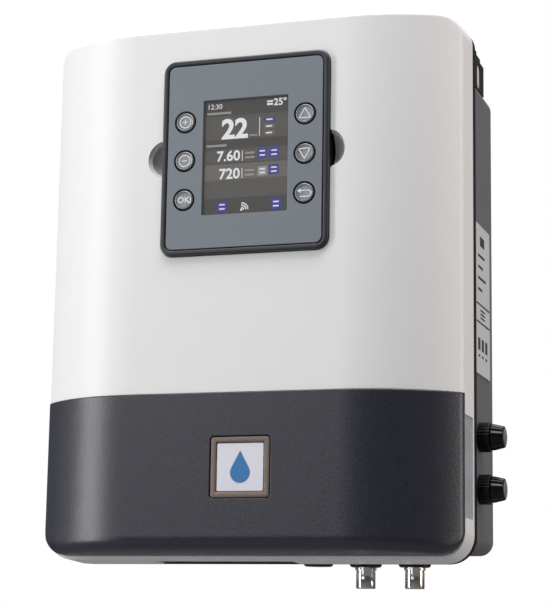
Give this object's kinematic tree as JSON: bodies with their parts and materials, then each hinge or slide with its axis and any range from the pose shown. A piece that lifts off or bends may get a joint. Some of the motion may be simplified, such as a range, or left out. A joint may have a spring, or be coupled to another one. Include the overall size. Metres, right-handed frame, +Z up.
{
  "type": "salt chlorine generator",
  "caption": "Wall-hung electrolysis control box for a pool: bowed cover, pull-out keypad display, clip-off wiring cover, side fuses and probe sockets below.",
  "frame": {"origin": "centre of the flat back of the rear housing, where it meets the wall", "axes": "+Z up, the front faces -Y and +Y points into the wall, +X to the right as seen from the front"},
  "size_m": [0.2292, 0.1043, 0.284],
  "materials": {
    "housing_grey": "satin",
    "seal_black": "matte",
    "white_plastic": "satin",
    "inset_grey": "satin",
    "entry_rubber": "matte",
    "charcoal_plastic": "grained satin",
    "badge_taupe": "satin",
    "badge_face": "gloss",
    "label_silver": "satin",
    "black_metal": "matte",
    "tray_grey": "satin",
    "slate_plastic": "satin",
    "panel_grey": "satin film",
    "window_glass": "clear",
    "screen": "lit display",
    "board_green": "solder mask",
    "copper_wrap": "tape wrapped winding",
    "steel": "zinc plated",
    "capacitor_sleeve": "shrink sleeve",
    "relay_blue": "gloss",
    "terminal_green": "satin",
    "fitting_black": "gloss",
    "key_grey": "satin",
    "nickel": "polished nickel",
    "fuse_glass": "clear"
  },
  "bodies": {
    "enclosure": {"rear_housing": "housing_grey", "seal_frame": "seal_black", "front_cover": "white_plastic", "side_inset_left": "inset_grey", "side_inset_right": "inset_grey", "cable_entry_strip": "entry_rubber", "rating_label": "label_silver", "heat_sink": "black_metal", "display_tray": "tray_grey", "main_board": "board_green", "board_screw_1": "steel", "board_screw_2": "steel", "board_screw_3": "steel", "board_screw_4": "steel", "power_transformer": "copper_wrap", "transformer_bolt": "steel", "capacitor_1": "capacitor_sleeve", "capacitor_2": "capacitor_sleeve", "relay_1": "relay_blue", "relay_2": "relay_blue", "power_terminals": "terminal_green", "signal_terminals": "terminal_green", "bridge_rectifier": "fitting_black", "fuse_holder_1": "fitting_black", "fuse_nut_1": "fitting_black", "fuse_holder_2": "fitting_black", "fuse_nut_2": "fitting_black", "gland_plate": "fitting_black", "blanking_plug": "fitting_black", "jack_collar_1": "fitting_black", "bayonet_jack_1": "nickel", "jack_nut_1": "nickel", "jack_collar_2": "fitting_black", "bayonet_jack_2": "nickel", "jack_nut_2": "nickel"},
    "terminal_cover": {"terminal_cover": "charcoal_plastic", "badge_frame": "badge_taupe", "badge_plate": "badge_face"},
    "display_module": {"display_back": "seal_black", "display_bezel": "slate_plastic", "key_panel": "panel_grey", "lcd_window": "window_glass", "lcd_panel": "screen", "display_board": "board_green"},
    "key_plus": {"key_plus": "key_grey"},
    "key_minus": {"key_minus": "key_grey"},
    "key_ok": {"key_ok": "key_grey"},
    "key_up": {"key_up": "key_grey"},
    "key_down": {"key_down": "key_grey"},
    "key_return": {"key_return": "key_grey"},
    "fuse_carrier_1": {"fuse_link_1": "fuse_glass"},
    "fuse_cap_1": {"fuse_cap_1": "fitting_black"},
    "fuse_carrier_2": {"fuse_link_2": "fuse_glass"},
    "fuse_cap_2": {"fuse_cap_2": "fitting_black"}
  },
  "joints": [
    {"name": "terminal_cover_slide", "type": "slide", "parent": "enclosure", "child": "terminal_cover", "axis": [0, -1, 0], "range_m": [0, 0.04]},
    {"name": "display_module_slide", "type": "slide", "parent": "enclosure", "child": "display_module", "axis": [0, -1, 0], "range_m": [0, 0.02]},
    {"name": "key_plus_press", "type": "slide", "parent": "display_module", "child": "key_plus", "axis": [0, 1, 0], "range_m": [0, 0.0005], "stiffness_N_per_m": 1000},
    {"name": "key_minus_press", "type": "slide", "parent": "display_module", "child": "key_minus", "axis": [0, 1, 0], "range_m": [0, 0.0005], "stiffness_N_per_m": 1000},
    {"name": "key_ok_press", "type": "slide", "parent": "display_module", "child": "key_ok", "axis": [0, 1, 0], "range_m": [0, 0.0005], "stiffness_N_per_m": 1000},
    {"name": "key_up_press", "type": "slide", "parent": "display_module", "child": "key_up", "axis": [0, 1, 0], "range_m": [0, 0.0005], "stiffness_N_per_m": 1000},
    {"name": "key_down_press", "type": "slide", "parent": "display_module", "child": "key_down", "axis": [0, 1, 0], "range_m": [0, 0.0005], "stiffness_N_per_m": 1000},
    {"name": "key_return_press", "type": "slide", "parent": "display_module", "child": "key_return", "axis": [0, 1, 0], "range_m": [0, 0.0005], "stiffness_N_per_m": 1000},
    {"name": "fuse_1_withdraw", "type": "slide", "parent": "enclosure", "child": "fuse_carrier_1", "axis": [1, 0, 0], "range_m": [0, 0.03]},
    {"name": "fuse_1_turn", "type": "hinge", "parent": "fuse_carrier_1", "child": "fuse_cap_1", "pos_m": [0.1133, -0.0335, -0.0699], "axis": [1, 0, 0], "range_deg": [0, 45]},
    {"name": "fuse_2_withdraw", "type": "slide", "parent": "enclosure", "child": "fuse_carrier_2", "axis": [1, 0, 0], "range_m": [0, 0.03]},
    {"name": "fuse_2_turn", "type": "hinge", "parent": "fuse_carrier_2", "child": "fuse_cap_2", "pos_m": [0.1133, -0.0335, -0.096], "axis": [1, 0, 0], "range_deg": [0, 45]}
  ]
}
